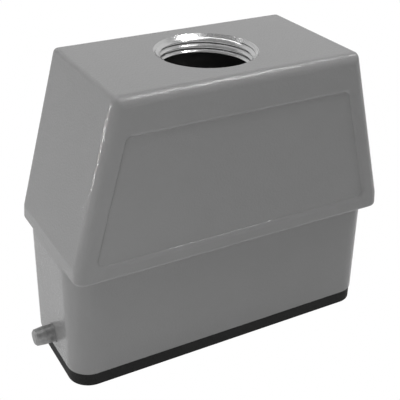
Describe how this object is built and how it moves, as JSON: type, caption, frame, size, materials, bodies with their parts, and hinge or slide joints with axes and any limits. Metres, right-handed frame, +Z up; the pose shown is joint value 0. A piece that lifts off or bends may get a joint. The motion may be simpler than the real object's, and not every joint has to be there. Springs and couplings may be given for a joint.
{
  "type": "heavy duty rectangular connector hood",
  "caption": "Die-cast cable-side hood of a rectangular industrial connector, with threaded top cable entry, end locking pegs, rim seal and screw-terminal pin insert.",
  "frame": {"origin": "centre of the seal's underside, where the hood meets the other half of the connector", "axes": "+X along the hood's long side, +Y across it, +Z up to the cable entry"},
  "size_m": [0.1354, 0.0536, 0.107],
  "materials": {
    "hood_coating": "grey powder coat",
    "seal_rubber": "matte black",
    "peg_steel": "turned",
    "insert_plastic": "light grey moulding",
    "contact_silver": "silver plated",
    "bracket_steel": "zinc plated sheet",
    "screw_steel": "zinc plated"
  },
  "bodies": {
    "root": {"hood_shell": "hood_coating", "rim_seal": "seal_rubber", "locking_peg_left": "peg_steel", "locking_peg_right": "peg_steel", "insert_body": "insert_plastic", "insert_retainer": "insert_plastic", "earth_bracket_left": "bracket_steel", "earth_bracket_right": "bracket_steel", "earth_screws": "screw_steel", "earth_washers": "screw_steel", "fixing_screws": "screw_steel", "terminal_screws": "screw_steel", "contact_pin_01": "contact_silver", "contact_pin_02": "contact_silver", "contact_pin_03": "contact_silver", "contact_pin_04": "contact_silver", "contact_pin_05": "contact_silver", "contact_pin_06": "contact_silver", "contact_pin_07": "contact_silver", "contact_pin_08": "contact_silver", "contact_pin_09": "contact_silver", "contact_pin_10": "contact_silver", "contact_pin_11": "contact_silver", "contact_pin_12": "contact_silver", "contact_pin_13": "contact_silver", "contact_pin_14": "contact_silver", "contact_pin_15": "contact_silver", "contact_pin_16": "contact_silver", "contact_pin_17": "contact_silver", "contact_pin_18": "contact_silver", "contact_pin_19": "contact_silver", "contact_pin_20": "contact_silver", "contact_pin_21": "contact_silver", "contact_pin_22": "contact_silver", "contact_pin_23": "contact_silver", "contact_pin_24": "contact_silver"}
  },
  "joints": []
}
